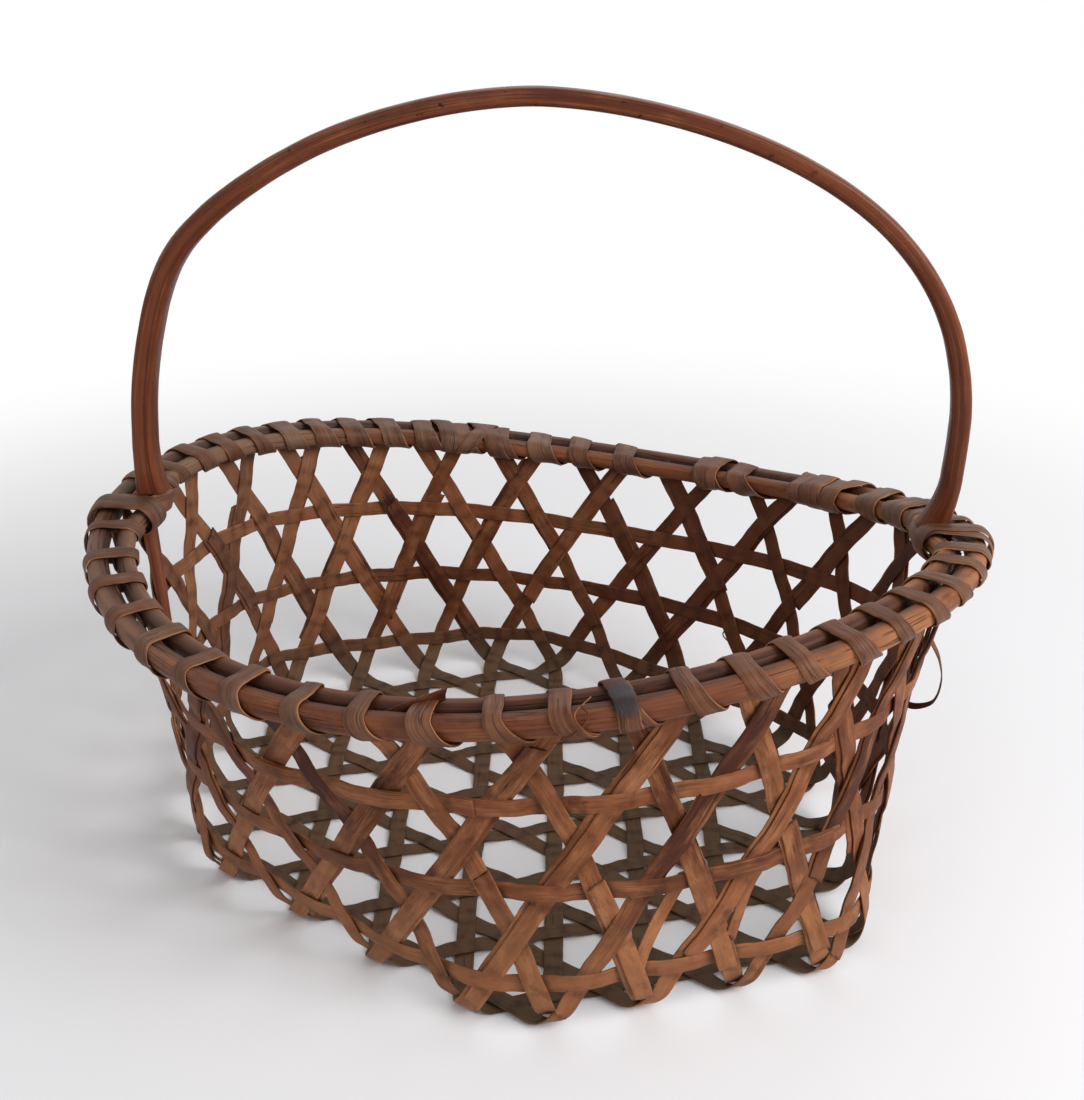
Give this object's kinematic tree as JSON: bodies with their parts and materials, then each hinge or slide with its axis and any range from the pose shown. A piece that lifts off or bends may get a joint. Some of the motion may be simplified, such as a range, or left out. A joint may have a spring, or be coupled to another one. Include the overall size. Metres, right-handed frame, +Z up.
{
  "type": "splint basket",
  "caption": "Open hexagonal-weave wooden splint basket with an oval lashed rim and a fixed bent carrying handle.",
  "frame": {"origin": "centre of the bounding box in plan, on the plane that the floor rests on", "axes": "+Z up, X along the line between the handle's two feet, -Y towards the side the picture shows"},
  "size_m": [0.4548, 0.3792, 0.3937],
  "materials": {
    "front_back_splint": "aged bare splint, dull",
    "right_slant_splint": "aged bare splint, dull",
    "left_slant_splint": "aged bare splint, dull",
    "hoop": "aged bare splint, dull",
    "rim_rod": "aged split rod, worn satin",
    "rim_lashing": "aged flat splint, worn satin",
    "handle": "dark hand-polished satin"
  },
  "bodies": {
    "root": {"front_back_splint_1": "front_back_splint", "front_back_splint_2": "front_back_splint", "front_back_splint_3": "front_back_splint", "front_back_splint_4": "front_back_splint", "front_back_splint_5": "front_back_splint", "front_back_splint_6": "front_back_splint", "front_back_splint_7": "front_back_splint", "front_back_splint_8": "front_back_splint", "right_slant_splint_1": "right_slant_splint", "right_slant_splint_2": "right_slant_splint", "right_slant_splint_3": "right_slant_splint", "right_slant_splint_4": "right_slant_splint", "right_slant_splint_5": "right_slant_splint", "right_slant_splint_6": "right_slant_splint", "right_slant_splint_7": "right_slant_splint", "right_slant_splint_8": "right_slant_splint", "left_slant_splint_1": "left_slant_splint", "left_slant_splint_2": "left_slant_splint", "left_slant_splint_3": "left_slant_splint", "left_slant_splint_4": "left_slant_splint", "left_slant_splint_5": "left_slant_splint", "left_slant_splint_6": "left_slant_splint", "left_slant_splint_7": "left_slant_splint", "left_slant_splint_8": "left_slant_splint", "hoop_lower": "hoop", "hoop_middle": "hoop", "hoop_upper": "hoop", "rim_rod_outer": "rim_rod", "rim_rod_inner": "rim_rod", "rim_lashing": "rim_lashing", "handle": "handle"}
  },
  "joints": []
}
